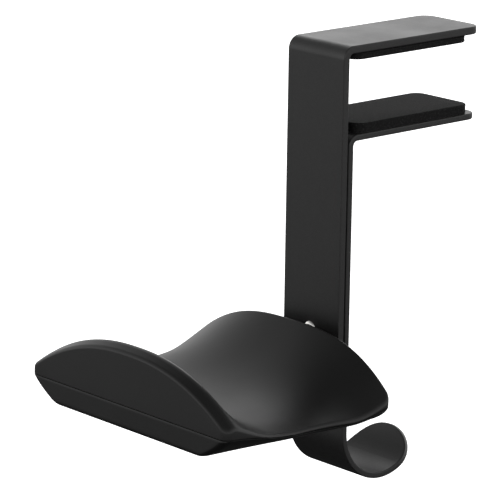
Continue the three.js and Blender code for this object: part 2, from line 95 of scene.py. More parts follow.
# Cradle, in its own frame: along is the distance forward of its back, up the height above its foot
CRADLE_LEAN = math.radians(1.85)
CRADLE_BACK = -4.4 * MM
CRADLE_FOOT = -111.5 * MM
CRADLE_DEPTH = 71.3 * MM
FRONT_OVERHANG = 0.3 * MM
HUMP_SETBACK = 4 * MM
FLOOR_HALF = 34.2 * MM
RIM_HALF = 45 * MM
WAIST = 2.2 * MM
PLAN_CORNER = 2.6 * MM
SEAM_END = 7.5 * MM
SEAM_LOW = 3.9 * MM
SEAM_REAR_RUN = 20 * MM
SEAM_FRONT_RUN = 32 * MM
SEAM_GAP = 0.1 * MM
SEAM_EASE = 0.15 * MM
SHELL_WALL = 1.5 * MM
TRAY_WALL = 1.6 * MM
TRAY_FLOOR = 1 * MM
CREST = {"hump": 25, "low": 6.6, "lip": 25.8, "hump_foot": 52, "hump_curve": 2,
         "lip_foot": 49, "lip_curve": 2.1, "lip_top": 67.4, "lip_fall": 0.45, "lip_roll": 1.4}
RIM = {"hump": 2.3, "low": 0.9, "lip": 3.8, "hump_foot": 22, "hump_curve": 2,
       "lip_foot": 52, "lip_curve": 1.8, "lip_top": 68, "lip_fall": 0.45, "lip_roll": 1}
CROWN_REAR_POWER = 2.9
CROWN_FRONT_POWER = 2.3
SHELL_EDGE = 0.9 * MM
TRAY_EDGE = 1.4 * MM
TRAY_BULGE = 0.9 * MM
ARM_BOTTOM = 1.3 * MM
DOOR_GAP = 0.4 * MM
DOOR_CORNER = 0.8 * MM
TRAY_SCREWS = [f"tray_screw_{row}_{side}" for row in ("rear", "front") for side in ("left", "right")]

# Floor, in metres
FLOOR_SIZE = 12
FLOOR_GAP = 0.001

# Camera and light
CAMERA_AZIMUTH = math.radians(47.55)
CAMERA_ELEVATION = math.radians(14.57)
CAMERA_ROLL = math.radians(0.87)
CAMERA_PLACE = (0.6864, -0.6843, 0.1851)
CAMERA_LENS = 226.7
BACKDROP_STRENGTH = 2.1
BACKDROP = [(0, 0.01), (0.25, 0.02), (0.37, 0.14), (0.44, 0.35), (0.5, 0.75), (0.545, 0.75),
            (0.6, 0.62), (0.68, 0.55), (0.8, 0.22), (1, 0.06)]

# The CAD's drawing frame: X = 0 down the middle of the bars, Y = 0 on the front bar's front face and
# Z = 0 on the upper jaw's top
bar_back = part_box("gap_washer_upper")[0].y
bar_front = bar_back - FRONT_THICKNESS
jaw_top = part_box("front_bracket")[1].z
drawing_origin = Vector((0, bar_front, jaw_top))


# ---- Camera, light and floor ----

def set_camera():
    """A long lens from the front right, a little above, rolled by nearly a degree."""
    right = Vector((math.cos(CAMERA_AZIMUTH), math.sin(CAMERA_AZIMUTH), 0))
    back = Vector((math.sin(CAMERA_AZIMUTH) * math.cos(CAMERA_ELEVATION),
                   -math.cos(CAMERA_AZIMUTH) * math.cos(CAMERA_ELEVATION),
                   math.sin(CAMERA_ELEVATION)))
    up = back.cross(right)
    rolled_right = right * math.cos(CAMERA_ROLL) + up * math.sin(CAMERA_ROLL)
    rolled_up = up * math.cos(CAMERA_ROLL) - right * math.sin(CAMERA_ROLL)
    data = bpy.data.cameras.new("camera")
    data.sensor_width = 36
    data.lens = CAMERA_LENS
    data.clip_start = 0.05
    camera = bpy.data.objects.new("camera", data)
    camera.matrix_world = Matrix((rolled_right, rolled_up, back)).transposed().to_4x4()
    camera.location = CAMERA_PLACE
    bpy.context.scene.collection.objects.link(camera)
    bpy.context.scene.camera = camera


def set_world():
    """A backdrop that is brightest round the horizon and dark overhead and underneath.

    BACKDROP's places go from 0 straight down, through 0.5 at the horizon, to 1 straight up.
    """
    world = bpy.data.worlds.new("studio")
    bpy.context.scene.world = world
    world.use_nodes = True
    tree = world.node_tree
    background = tree.nodes["Background"]
    place = tree.nodes.new("ShaderNodeTexCoord")
    split = tree.nodes.new("ShaderNodeSeparateXYZ")
    height = tree.nodes.new("ShaderNodeMapRange")
    height.inputs["From Min"].default_value = -1
    ramp = tree.nodes.new("ShaderNodeValToRGB")
    tree.links.new(place.outputs["Generated"], split.inputs[0])
    tree.links.new(split.outputs["Z"], height.inputs["Value"])
    tree.links.new(height.outputs["Result"], ramp.inputs[0])
    tree.links.new(ramp.outputs["Color"], background.inputs["Color"])
    set_ramp(ramp, BACKDROP)
    background.inputs["Strength"].default_value = BACKDROP_STRENGTH


def set_ramp(ramp, stops):
    """Grey stops, each a place and a value or colour."""
    elements = ramp.color_ramp.elements
    while len(elements) < len(stops):
        elements.new(0.5)
    for element, (place, value) in zip(elements, stops):
        element.position = place
        element.color = (*value, 1) if isinstance(value, tuple) else (value, value, value, 1)


def add_softbox(name, place, target, width, height, power):
    """A rectangular soft light that faces its target and doesn't show itself."""
    data = bpy.data.lights.new(name, "AREA")
    data.shape = "RECTANGLE"
    data.size = width
    data.size_y = height
    data.energy = power
    light = bpy.data.objects.new(name, data)
    light.location = place
    light.rotation_euler = (Vector(target) - Vector(place)).to_track_quat("-Z", "Y").to_euler()
    light.visible_camera = False
    bpy.context.scene.collection.objects.link(light)


def add_floor():
    """A pale floor just below the cable hook at its lowest, glowing as a light table does."""
    height = cad_box[0].z - JAW_TRAVEL - FLOOR_GAP
    half = FLOOR_SIZE / 2
    corners = [(-half, -half, height), (half, -half, height), (half, half, height), (-half, half, height)]
    floor = new_object("floor", corners, [(0, 1, 2, 3)])
    material, shader = new_material("floor")
    shader.inputs["Base Color"].default_value = (0.86, 0.86, 0.86, 1)
    shader.inputs["Roughness"].default_value = 0.9
    shader.inputs["Specular IOR Level"].default_value = 0.1
    shader.inputs["Emission Color"].default_value = (1, 1, 1, 1)
    shader.inputs["Emission Strength"].default_value = 1.15
    floor.data.materials.append(material)
    floor.visible_glossy = False
    floor.visible_diffuse = False


# ---- Materials ----

def new_material(name):
    """A material and its shader."""
    material = bpy.data.materials.new(name)
    material.use_nodes = True
    return material, material.node_tree.nodes["Principled BSDF"]


def noise(tree, scale, detail=3, roughness=0.55, stretch=(1, 1, 1)):
    """A noise texture in the object's own place, with its scale in cells to the metre."""
    place = tree.nodes.new("ShaderNodeTexCoord")
    mapping = tree.nodes.new("ShaderNodeMapping")
    mapping.inputs["Scale"].default_value = stretch
    texture = tree.nodes.new("ShaderNodeTexNoise")
    texture.inputs["Scale"].default_value = scale
    texture.inputs["Detail"].default_value = detail
    texture.inputs["Roughness"].default_value = roughness
    tree.links.new(place.outputs["Object"], mapping.inputs["Vector"])
    tree.links.new(mapping.outputs["Vector"], texture.inputs["Vector"])
    return texture.outputs["Fac"]


def ramped(tree, factor, stops):
    """A colour from a factor through a ramp's stops."""
    ramp = tree.nodes.new("ShaderNodeValToRGB")
    set_ramp(ramp, stops)
    tree.links.new(factor, ramp.inputs[0])
    return ramp.outputs["Color"]


def ranged(tree, factor, low, high):
    """A value from low to high over the middle of a noise's range."""
    node = tree.nodes.new("ShaderNodeMapRange")
    node.inputs["From Min"].default_value = 0.3
    node.inputs["From Max"].default_value = 0.7
    node.inputs["To Min"].default_value = low
    node.inputs["To Max"].default_value = high
    tree.links.new(factor, node.inputs["Value"])
    return node.outputs["Result"]


def bump(tree, height, distance, below=None):
    """A bump's normal, on top of another bump where there is one below."""
    node = tree.nodes.new("ShaderNodeBump")
    node.inputs["Strength"].default_value = 1
    node.inputs["Distance"].default_value = distance
    tree.links.new(height, node.inputs["Height"])
    if below:
        tree.links.new(below, node.inputs["Normal"])
    return node.outputs["Normal"]


def powder_coat():
    """Fine matte powder coat: sparkle-sized grains over a faint orange peel."""
    material, shader = new_material("powder_coat")
    tree = material.node_tree
    grain = noise(tree, 4200, detail=2)
    peel = noise(tree, 900, detail=2)
    cloud = noise(tree, 60, detail=4)
    tree.links.new(ramped(tree, grain, [(0.35, 0.007), (0.75, 0.02)]), shader.inputs["Base Color"])
    tree.links.new(ranged(tree, cloud, 0.40, 0.48), shader.inputs["Roughness"])
    peeled = bump(tree, peel, 0.012 * MM)
    tree.links.new(bump(tree, grain, 0.008 * MM, peeled), shader.inputs["Normal"])
    shader.inputs["Specular IOR Level"].default_value = 0.42
    return material


def soft_touch():
    """Satin moulded plastic with a fine spark-eroded grain and faint handling marks."""
    material, shader = new_material("soft_touch")
    tree = material.node_tree
    grain = noise(tree, 3600, detail=2)
    cloud = noise(tree, 35, detail=5)
    tree.links.new(ramped(tree, cloud, [(0.3, 0.005), (0.7, 0.0075)]), shader.inputs["Base Color"])
    tree.links.new(ranged(tree, cloud, 0.40, 0.46), shader.inputs["Roughness"])
    tree.links.new(bump(tree, grain, 0.006 * MM), shader.inputs["Normal"])
    shader.inputs["Specular IOR Level"].default_value = 0.36
    return material


def pad_foam():
    """Closed-cell foam: small cut cells, with scattered paler specks."""
    material, shader = new_material("pad_foam")
    tree = material.node_tree
    place = tree.nodes.new("ShaderNodeTexCoord")
    cells = tree.nodes.new("ShaderNodeTexVoronoi")
    cells.inputs["Scale"].default_value = 2600
    tree.links.new(place.outputs["Object"], cells.inputs["Vector"])
    specks = noise(tree, 1500, detail=4, roughness=0.7)
    tree.links.new(ramped(tree, specks, [(0.45, 0.006), (0.6, 0.014), (0.72, 0.05)]),
                   shader.inputs["Base Color"])
    tree.links.new(ranged(tree, specks, 0.72, 0.92), shader.inputs["Roughness"])
    celled = bump(tree, cells.outputs["Distance"], 0.05 * MM)
    tree.links.new(bump(tree, specks, 0.06 * MM, celled), shader.inputs["Normal"])
    shader.inputs["Specular IOR Level"].default_value = 0.12
    return material


def pad_tape():
    """Adhesive tape with a faint fibrous edge."""
    material, shader = new_material("pad_tape")
    tree = material.node_tree
    fibres = noise(tree, 1400, stretch=(1, 0.2, 1))
    tree.links.new(ramped(tree, fibres, [(0.3, 0.02), (0.7, 0.04)]), shader.inputs["Base Color"])
    tree.links.new(ranged(tree, fibres, 0.6, 0.75), shader.inputs["Roughness"])
    tree.links.new(bump(tree, fibres, 0.01 * MM), shader.inputs["Normal"])
    return material


def metal(name, dark, light, low, high, stretch, scratch):
    """Bare or plated metal, with tool marks drawn out along one direction."""
    material, shader = new_material(name)
    tree = material.node_tree
    marks = noise(tree, 2500, detail=3, stretch=stretch)
    cloud = noise(tree, 180, detail=3)
    tree.links.new(ramped(tree, cloud, [(0.35, dark), (0.65, light)]), shader.inputs["Base Color"])
    tree.links.new(ranged(tree, marks, low, high), shader.inputs["Roughness"])
    tree.links.new(bump(tree, marks, scratch), shader.inputs["Normal"])
    shader.inputs["Metallic"].default_value = 1
    return material


def nylon():
    """Natural nylon: ivory, a little translucent and faintly clouded."""
    material, shader = new_material("nylon")
    tree = material.node_tree
    cloud = noise(tree, 400)
    tree.links.new(ramped(tree, cloud, [(0.3, (0.62, 0.6, 0.53)), (0.7, (0.7, 0.68, 0.61))]),
                   shader.inputs["Base Color"])
    tree.links.new(ranged(tree, cloud, 0.4, 0.55), shader.inputs["Roughness"])
    tree.links.new(bump(tree, noise(tree, 3000), 0.005 * MM), shader.inputs["Normal"])
    shader.inputs["Subsurface Weight"].default_value = 0.1
    shader.inputs["Subsurface Radius"].default_value = (0.5 * MM, 0.4 * MM, 0.3 * MM)
    return material


def make_materials():
    """Every material, under its slot's name."""
    return {
        "powder_coat": powder_coat(),
        "soft_touch": soft_touch(),
        "pad_foam": pad_foam(),
        "pad_tape": pad_tape(),
        "nickel_steel": metal("nickel_steel", (0.72, 0.71, 0.68), (0.8, 0.79, 0.77), 0.16, 0.26,
                              (1, 1, 1), 0.002 * MM),
        "zinc_steel": metal("zinc_steel", (0.5, 0.51, 0.53), (0.62, 0.63, 0.64), 0.32, 0.46,
                            (1, 1, 0.15), 0.004 * MM),
        "spring_steel": metal("spring_steel", (0.4, 0.4, 0.41), (0.5, 0.5, 0.5), 0.25, 0.38,
                              (1, 1, 1), 0.003 * MM),
        "nylon": nylon(),
        "brass": metal("brass", (0.6, 0.44, 0.18), (0.72, 0.55, 0.26), 0.25, 0.4,
                       (1, 1, 0.3), 0.003 * MM),
    }


# ---- Mesh helpers ----

def new_object(name, vertices, faces):
    """An object made from points and faces."""
    mesh = bpy.data.meshes.new(name)
    mesh.from_pydata([tuple(v) for v in vertices], [], faces)
    mesh.update()
    made = bpy.data.objects.new(name, mesh)
    bpy.context.scene.collection.objects.link(made)
    return made


def tidy_mesh(piece, merge=0.0005 * MM):
    """Merges coincident points, drops flat faces, turns every face outwards and shades it smooth."""
    data = bmesh.new()
    data.from_mesh(piece.data)
    bmesh.ops.remove_doubles(data, verts=data.verts, dist=merge)
    bmesh.ops.dissolve_degenerate(data, edges=data.edges, dist=merge)
    bmesh.ops.recalc_face_normals(data, faces=data.faces)
    data.to_mesh(piece.data)
    data.free()
    piece.data.shade_smooth()


def cut(piece, cutter):
    """Takes the cutter's shape out of the piece, and the cutter off the scene."""
    modifier = piece.modifiers.new("cut", "BOOLEAN")
    modifier.operation = "DIFFERENCE"
    modifier.solver = "EXACT"
    modifier.object = cutter
    apply_modifiers(piece)
    bpy.data.objects.remove(cutter)


def apply_modifiers(piece):
    """Makes a piece's mesh what its modifiers give."""
    graph = bpy.context.evaluated_depsgraph_get()
    graph.update()
    final = bpy.data.meshes.new_from_object(piece.evaluated_get(graph))
    piece.modifiers.clear()
    piece.data = final


def finish_piece(piece, body, slot, materials, *nodes):
    """Weights its normals by face area, so flats stay flat beside rounded edges, and seats it."""
    tidy_mesh(piece)
    weighted = piece.modifiers.new("weighted_normals", "WEIGHTED_NORMAL")
    weighted.keep_sharp = True
    weighted.weight = 100
    piece.data.materials.clear()
    piece.data.materials.append(materials[slot])
    if nodes:
        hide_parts(*nodes)
    if body:
        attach(piece, body)
    return piece


def rings_to_mesh(rings, first_cap=True, last_cap=True):
    """Vertices and faces of a closed tube of rings, its ends filled."""
    size = len(rings[0])
    vertices = [point for ring in rings for point in ring]
    faces = []
    for ring in range(len(rings) - 1):
        for corner in range(size):
            a, b = ring * size + corner, ring * size + (corner + 1) % size
            faces.append((a, b, b + size, a + size))
    if first_cap:
        faces.append(tuple(reversed(range(size))))
    if last_cap:
        start = (len(rings) - 1) * size
        faces.append(tuple(range(start, start + size)))
    return vertices, faces


def arc(start, end, steps):
    """Evenly spaced values from start to end."""
    return [start + (end - start) * step / steps for step in range(steps + 1)]


def spokes(axis, sides):
    """Unit vectors round an axis."""
    across = axis.orthogonal().normalized()
    other = axis.cross(across)
    angles = [2 * math.pi * side / sides for side in range(sides)]
    return [across * math.cos(angle) + other * math.sin(angle) for angle in angles]


def middle_of(node):
    """The middle of a node's box in X and Z, on the plane Y = 0."""
    low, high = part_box(node)
    return Vector(((low.x + high.x) / 2, 0, (low.z + high.z) / 2))


def turned(name, profile, centre, axis, sides=56):
    """A piece turned about an axis: the profile is pairs of a radius and a distance along the axis."""
    axis = Vector(axis)
    point_radius = 0.0001 * MM
    rings = [[centre + axis * distance + spoke * max(radius, point_radius)
              for spoke in spokes(axis, sides)]
             for radius, distance in profile]
    return new_object(name, *rings_to_mesh(rings))


def turned_ring(name, inner, outer, start, end, edge, centre, axis, sides=56):
    """A washer or bush with its four edges eased."""
    corners = [(outer - edge, start), (outer, start + edge), (outer, end - edge), (outer - edge, end),
               (inner + edge, end), (inner, end - edge), (inner, start + edge), (inner + edge, start)]
    axis = Vector(axis)
    vertices = [centre + axis * distance + spoke * radius
                for spoke in spokes(axis, sides) for radius, distance in corners]
    faces = []
    size = len(corners)
    for side in range(sides):
        for corner in range(size):
            after = (corner + 1) % size
            here, there = side * size, ((side + 1) % sides) * size
            faces.append((here + corner, here + after, there + after, there + corner))
    return new_object(name, vertices, faces)


# ---- Bent bars ----

class BarPath:
    """A bar's centre line in Y and Z, drawn by going forward and turning as the bar is bent."""

    def __init__(self, y, z, heading):
        self.parts = []
        self.end = Vector((y, z))
        self.heading = math.radians(heading)
        self.length = 0

    def forward(self, length):
        """A straight run."""
        self.parts.append((self.length, length, self.end.copy(), self.heading, 0))
        self.end += Vector((math.cos(self.heading), math.sin(self.heading))) * length
        self.length += length
        return self

    def turn(self, radius, degrees):
        """A bend; a turn to the left is positive."""
        angle = math.radians(degrees)
        length = radius * abs(angle)
        signed_radius = math.copysign(radius, angle)
        self.parts.append((self.length, length, self.end.copy(), self.heading, signed_radius))
        self.length += length
        self.end = self.at(self.length)[0]
        self.heading += angle
        return self

    def at(self, distance):
        """The point and the heading at a distance along the path."""
        begin, length, start, heading, radius = next(
            (part for part in reversed(self.parts) if part[0] <= distance), self.parts[0])
        run = min(distance - begin, length)
        if not radius:
            return start + Vector((math.cos(heading), math.sin(heading))) * run, heading
        centre = start + Vector((-math.sin(heading), math.cos(heading))) * radius
        heading += run / radius
        return centre + Vector((math.sin(heading), -math.cos(heading))) * radius, heading

    def stations(self, spacing=3 * MM, bend_spacing=0.8 * MM, bend_steps=16):
        """Distances along the path, closer together in its bends."""
        found = []
        for begin, length, _start, _heading, radius in self.parts:
            steps = max(1, round(length / spacing))
            if radius:
                steps = max(bend_steps, round(length / bend_spacing))
            found += [begin + length * step / steps for step in range(steps)]
        return found + [self.length]


def bent_plate(name, path, width, thickness, start_corner, end_corner, edge,
               corner_steps=12, edge_steps=4):
    """A flat plate with rounded corners and eased edges, bent along a path."""
    half = width / 2
    middle = [s for s in path.stations() if start_corner < s < path.length - end_corner]
    layers = [(edge - edge * math.cos(a), -thickness / 2 + edge - edge * math.sin(a))
              for a in reversed(arc(0, math.pi / 2, edge_steps))]
    layers += [(inset, -height) for inset, height in reversed(layers)]
    rings = []
    for inset, height in layers:
        side = [(start_corner - (start_corner - inset) * math.cos(a),
                 half - start_corner + (start_corner - inset) * math.sin(a))
                for a in arc(0, math.pi / 2, corner_steps)]
        side += [(s, half - inset) for s in middle]
        side += [(path.length - end_corner + (end_corner - inset) * math.sin(a),
                  half - end_corner + (end_corner - inset) * math.cos(a))
                 for a in arc(0, math.pi / 2, corner_steps)]
        loop = side + [(s, -w) for s, w in reversed(side)]
        ring = []
        for s, w in loop:
            point, heading = path.at(min(max(s, 0), path.length))
            lifted = point + Vector((-math.sin(heading), math.cos(heading))) * height
            ring.append(drawing_origin + Vector((w, lifted.x, lifted.y)))
        rings.append(ring)
    vertices, faces = rings_to_mesh(rings, False, False)
    size = len(rings[0])
    count = size // 2
    for start in (0, (len(rings) - 1) * size):
        for step in range(count - 1):
            mirror = size - 1 - step
            faces.append((start + step, start + step + 1, start + mirror - 1, start + mirror))
    return new_object(name, vertices, faces)


def cradle_place(along, up):
    """A place in the cradle's middle plane, in the drawing frame's Y and Z."""
    lean_cos, lean_sin = math.cos(CRADLE_LEAN), math.sin(CRADLE_LEAN)
    return Vector((CRADLE_BACK - along * lean_cos + up * lean_sin,
                   CRADLE_FOOT + along * lean_sin + up * lean_cos))


def front_bracket(materials):
    """The cradle's arm, the upright and the upper jaw, as one bent bar."""
    middle = FRONT_THICKNESS / 2
    bend = INNER_BEND + middle
    arm_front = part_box("front_bracket")[0].y - bar_front
    jaw_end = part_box("front_bracket")[1].y - bar_front
    arm_along = (CRADLE_BACK - arm_front) / math.cos(CRADLE_LEAN)
    start = cradle_place(arm_along, ARM_BOTTOM + middle)
    run = (middle - start.x) / math.cos(CRADLE_LEAN)
    corner_height = start.y - run * math.sin(CRADLE_LEAN)
    tangent = bend * math.tan((math.pi / 2 + CRADLE_LEAN) / 2)
    path = (BarPath(start.x, start.y, -math.degrees(CRADLE_LEAN))
            .forward(run - tangent)
            .turn(bend, 90 + math.degrees(CRADLE_LEAN))
            .forward(-middle - bend - corner_height - tangent)
            .turn(bend, -90)
            .forward(jaw_end - middle - bend))
    bar = bent_plate("front_bar", path, BAR_WIDTH, FRONT_THICKNESS, JAW_CORNER, JAW_CORNER, BAR_EDGE)
    return finish_piece(bar, "frame", "powder_coat", materials, "front_bracket")


def capsule_cutter(half_width, bottom, top, front, back, steps=16):
    """A slot-shaped cutter through a plate that faces Y."""
    outline = [(half_width * math.cos(a), top - half_width + half_width * math.sin(a))
               for a in arc(0, math.pi, steps)]
    outline += [(half_width * math.cos(a), bottom + half_width + half_width * math.sin(a))
                for a in arc(math.pi, 2 * math.pi, steps)]
    rings = [[Vector((x, y, z)) for x, z in outline] for y in (front, back)]
    return new_object("cutter", *rings_to_mesh(rings))


def slide_bracket(materials):
    """The lower jaw, the sliding upright with its slot, and the cable hook."""
    low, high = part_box("slide_bracket")
    middle = SLIDE_THICKNESS / 2
    bend = INNER_BEND + middle
    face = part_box("spring_post_lower_left")[0].y - bar_front + middle
    jaw_end = high.y - bar_front
    jaw_middle = high.z - jaw_top - middle
    hook_centre = low.z - jaw_top + HOOK_RADIUS
    path = (BarPath(jaw_end, jaw_middle, 180)
            .forward(jaw_end - face - bend)
            .turn(bend, 90)
            .forward(jaw_middle - bend - hook_centre)
            .turn(HOOK_RADIUS - middle, HOOK_TURN))
    bar = bent_plate("slide_bar", path, BAR_WIDTH, SLIDE_THICKNESS, JAW_CORNER, BAR_WIDTH / 2, BAR_EDGE)
    tidy_mesh(bar)
    upper_bush, lower_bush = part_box("guide_bush_upper"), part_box("guide_bush_lower")
    cutter = capsule_cutter(SLOT_WIDTH / 2, lower_bush[0].z - BUSH_CLEARANCE,
                            upper_bush[1].z + JAW_TRAVEL + BUSH_CLEARANCE,
                            bar_front + face - SLIDE_THICKNESS, bar_front + face + SLIDE_THICKNESS)
    cut(bar, cutter)
    return finish_piece(bar, "slider", "powder_coat", materials, "slide_bracket")


# ---- Guides, springs and pads ----

def guide_rivet(place, materials):
    """A domed rivet, its tail clenched over the keeper plate."""
    node = f"guide_rivet_{place}"
    low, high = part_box(node)
    head_radius, shank_radius, tail_radius = 2.5 * MM, 1.5 * MM, 2.15 * MM
    band, ease, tail_band, dimple = 0.15 * MM, 0.1 * MM, 0.35 * MM, 0.3 * MM
    dome_height = bar_front - low.y - band
    keeper_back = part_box("keeper_plate")[1].y
    dome = [(head_radius * math.sin(a), bar_front - band - dome_height * math.cos(a))
            for a in arc(0, math.pi / 2, 16)]
    profile = dome + [
        (head_radius - ease, bar_front),
        (shank_radius, bar_front),
        (shank_radius, keeper_back),
        (tail_radius, keeper_back),
        (tail_radius, keeper_back + tail_band),
        (tail_radius * 0.8, high.y - ease),
        (tail_radius * 0.65, high.y),
        (tail_radius * 0.3, high.y - 0.25 * MM),
        (0, high.y - dimple),
    ]
    rivet = turned(node + "_turned", profile, middle_of(node), (0, 1, 0))
    return finish_piece(rivet, "frame", "nickel_steel", materials, node)


def nylon_ring(node, edge, materials):
    """A washer or bush on a rivet."""
    low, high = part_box(node)
    ring = turned_ring(node + "_turned", BORE_RADIUS, (high.z - low.z) / 2, low.y, high.y, edge,
                       middle_of(node), (0, 1, 0))
    return finish_piece(ring, "frame", "nylon", materials, node)


def keeper_plate(materials):
    """A stamped T-shaped plate with rounded corners and rolled edges."""
    low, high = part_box("keeper_plate")
    stem_half, bar_half, bar_height, corner, edge = 4 * MM, high.x, 6 * MM, 1 * MM, 0.2 * MM
    step = high.z - bar_height
    outline = [Vector(place) for place in (
        (-stem_half, low.z), (stem_half, low.z), (stem_half, step), (bar_half, step),
        (bar_half, high.z), (-bar_half, high.z), (-bar_half, step), (-stem_half, step))]
    points = []
    for index, here in enumerate(outline):
        before = (outline[index - 1] - here).normalized()
        after = (outline[(index + 1) % len(outline)] - here).normalized()
        centre = here + (before + after) * corner
        for share in arc(0, 1, 5):
            angle = share * math.pi / 2
            points.append(centre - after * corner * math.cos(angle) - before * corner * math.sin(angle))
    rings = []
    for inset, y in ((edge, low.y), (0, low.y + edge), (0, high.y - edge), (edge, high.y)):
        ring = []
        for index, point in enumerate(points):
            tangent = (points[(index + 1) % len(points)] - points[index - 1]).normalized()
            ring.append(point + Vector((-tangent.y, tangent.x)) * inset)
        rings.append([Vector((p.x, y, p.y)) for p in ring])
    plate = new_object("keeper_plate_stamped", *rings_to_mesh(rings))
    return finish_piece(plate, "frame", "zinc_steel", materials, "keeper_plate")


def spring_post(node, body, materials):
    """A headed pin, its head's edges eased."""
    low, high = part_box(node)
    head, head_height, ease = (high.x - low.x) / 2, 0.6 * MM, 0.12 * MM
    profile = [
        (0, low.y),
        (POST_RADIUS, low.y),
        (POST_RADIUS, high.y - head_height),
        (head - ease, high.y - head_height),
        (head, high.y - head_height + ease),
        (head, high.y - ease),
        (head - ease, high.y),
        (0, high.y),
    ]
    post = turned(node + "_turned", profile, middle_of(node), (0, 1, 0), 32)
    return finish_piece(post, body, "zinc_steel", materials, node)


def tube_along(name, points, radius, sides=10):
    """A round wire through the points, without twist."""
    rings = []
    across = None
    for index, point in enumerate(points):
        tangent = (points[min(index + 1, len(points) - 1)] - points[max(index - 1, 0)]).normalized()
        if across is None:
            across = tangent.orthogonal()
        across = (across - tangent * across.dot(tangent)).normalized()
        other = tangent.cross(across)
        rings.append([point + (across * math.cos(a) + other * math.sin(a)) * radius
                      for a in arc(0, 2 * math.pi * (sides - 1) / sides, sides - 1)])
    return new_object(name, *rings_to_mesh(rings))


def tension_spring(side, materials):
    """A close-wound coil with a loop round the post at each end."""
    low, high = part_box(f"spring_{side}")
    x = (low.x + high.x) / 2
    shift, loop_steps, turn_steps = 0.4 * MM, 26, 16
    upper_y = (low.y + high.y) / 2
    lower_y = upper_y - shift
    upper_z = middle_of(f"spring_post_upper_{side}").z
    lower_z = middle_of(f"spring_post_lower_{side}").z
    coil = (high.x - low.x) / 2 - WIRE_RADIUS
    loop = POST_RADIUS + WIRE_RADIUS
    points = []
    for a in arc(math.radians(-60), math.radians(270), loop_steps):
        points.append(Vector((x + loop * math.sin(-a), upper_y, upper_z + loop * math.cos(a))))
    steps = COIL_TURNS * turn_steps
    for step in range(steps + 1):
        share = step / steps
        angle = math.pi + 2 * math.pi * COIL_TURNS * share
        points.append(Vector((x + coil * math.cos(angle), upper_y + (lower_y - upper_y) * share
                              + coil * math.sin(angle), high.z + (low.z - high.z) * share)))
    for a in arc(math.radians(90), math.radians(420), loop_steps):
        points.append(Vector((x - loop * math.sin(a), lower_y, lower_z + loop * math.cos(a))))
    spring = tube_along(f"spring_{side}_coil", points, WIRE_RADIUS)
    finish_piece(spring, None, "spring_steel", materials, f"spring_{side}")
    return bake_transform(spring)


def foam_pad(node, body, free_side, materials):
    """A die-cut foam pad: flat where it is stuck down, its free face a little crowned and soft-edged."""
    low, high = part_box(node)
    corner, edge, crown = 4 * MM, 0.45 * MM, 0.12 * MM
    half = (high.x - low.x) / 2
    centre_y = (low.y + high.y) / 2
    length = (high.y - low.y) / 2
    thickness = high.z - low.z
    stuck = low.z if free_side > 0 else high.z
    # The side's insets and their heights above the stuck face
    levels = [(0.15 * MM, 0), (0.02 * MM, 0.12 * MM), (0.1 * MM, thickness * 0.5)]
    levels += [(edge - edge * math.cos(a), thickness - crown - edge + edge * math.sin(a))
               for a in arc(0, math.pi / 2, 5)]
    columns, rows, corner_steps = 16, 26, 7

    def lattice(inset):
        """Rows of points across the pad, the same shape for every inset."""
        reach = corner - inset
        found = []
        for a in arc(0, math.pi / 2, corner_steps):
            found.append((half - corner + reach * math.sin(a), -length + corner - reach * math.cos(a)))
        for share in arc(0, 1, rows)[1:-1]:
            found.append((half - inset, -length + corner + (2 * length - 2 * corner) * share))
        for a in arc(0, math.pi / 2, corner_steps):
            found.append((half - corner + reach * math.cos(a), length - corner + reach * math.sin(a)))
        return [[(w * (-1 + 2 * c / columns), y) for c in range(columns + 1)] for w, y in found]

    def placed(x, y, height):
        """A point at a height above the face that is stuck down."""
        return Vector((x, centre_y + y, stuck + free_side * height))

    def crowned(x, y):
        """The free face's height, level at its edges and a little higher in the middle."""
        bulge = (1 - (x / half) ** 4) * (1 - (y / length) ** 4)
        return thickness - crown + crown * bulge

    bottom = [[placed(x, y, levels[0][1]) for x, y in row] for row in lattice(levels[0][0])]
    walls = [[[placed(x, y, height) for x, y in row] for row in lattice(inset)]
             for inset, height in levels[1:-1]]
    top = [[placed(x, y, crowned(x, y)) for x, y in row] for row in lattice(levels[-1][0])]
    pad = lattice_solid(node + "_foam", bottom, walls, top)
    finish_piece(pad, body, "pad_foam", materials, node)
    return pad


def boundary(grid):
    """The points round the edge of a lattice, in order."""
    return (grid[0] + [row[-1] for row in grid[1:-1]] + list(reversed(grid[-1]))
            + [row[0] for row in reversed(grid[1:-1])])


def lattice_solid(name, bottom, walls, top):
    """A closed solid between two lattices, joined round their edges through the wall lattices' edges."""
    vertices, faces = [], []
    for grid in (bottom, top):
        start = len(vertices)
        width = len(grid[0])
        vertices += [point for row in grid for point in row]
        for row in range(len(grid) - 1):
            for column in range(width - 1):
                a = start + row * width + column
                faces.append((a, a + 1, a + width + 1, a + width))
    for lower, upper in zip([bottom, *walls], [*walls, top]):
        rings = [boundary(lower), boundary(upper)]
        ring_vertices, ring_faces = rings_to_mesh(rings, False, False)
        start = len(vertices)
        vertices += ring_vertices
        faces += [tuple(start + index for index in face) for face in ring_faces]
    return new_object(name, vertices, faces)


# ---- Cradle ----

def eased_rise(along, start, end):
    """From 0 to 1, level at both ends, as along goes from start to end."""
    share = min(max((along - start) / (end - start), 0), 1)
    return (1 - math.cos(math.pi * share)) / 2


def trough_line(line, along):
    """Down from the hump, low in the trough, up to the lip, and rolling over it to the front."""
    place = along / MM
    most_fall = 1.1
    fall = min(max((line["hump_foot"] - place) / (line["hump_foot"] - HUMP_SETBACK / MM), 0), most_fall)
    rise = max((place - line["lip_foot"]) / (line["lip_top"] - line["lip_foot"]), 0)
    slope = (line["low"] + (line["hump"] - line["low"]) * fall ** line["hump_curve"]
             + (line["lip"] - line["low"]) * rise ** line["lip_curve"])
    lip = line["lip"] - line["lip_fall"] * (place - line["lip_top"])
    return MM * soft_lower(slope, lip, line["lip_roll"])


